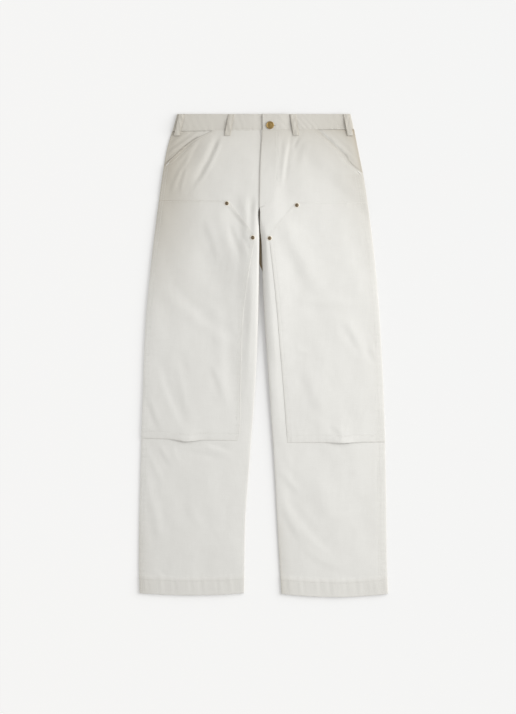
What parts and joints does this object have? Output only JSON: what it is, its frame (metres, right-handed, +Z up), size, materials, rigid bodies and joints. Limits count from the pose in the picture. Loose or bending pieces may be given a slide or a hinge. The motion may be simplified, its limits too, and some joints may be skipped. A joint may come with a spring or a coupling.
{
  "type": "double-knee work trousers",
  "caption": "Straight, wide work trousers in off-white canvas with doubled knee panels, slanted front pockets, belt loops and a brass button, laid flat with the front up.",
  "frame": {"origin": "on the surface that the trousers lie on, under the middle of their outline", "axes": "+Z up out of the front of the garment, +Y towards the waist, +X towards the wearer's left"},
  "size_m": [0.5485, 1.0633, 0.0112],
  "materials": {
    "canvas": "off-white cotton canvas, plain weave, matt, softly creased",
    "facing": "the same off-white canvas, in the shade of the pocket opening",
    "brass": "aged brass, satin, with a bright worn rim",
    "rivet": "dark antique brass, satin"
  },
  "bodies": {
    "root": {"front_left": "canvas", "front_right": "canvas", "back_left": "canvas", "back_right": "canvas", "knee_panel_left": "canvas", "knee_panel_right": "canvas", "waistband_front_left": "canvas", "waistband_front_right": "canvas", "waistband_back": "canvas", "belt_loop_front_left": "canvas", "belt_loop_front_right": "canvas", "belt_loop_side_left": "canvas", "belt_loop_side_right": "canvas", "pocket_facing_left": "facing", "pocket_facing_right": "facing", "button": "brass", "rivet_upper_left": "rivet", "rivet_lower_left": "rivet", "rivet_upper_right": "rivet", "rivet_lower_right": "rivet"}
  },
  "joints": []
}
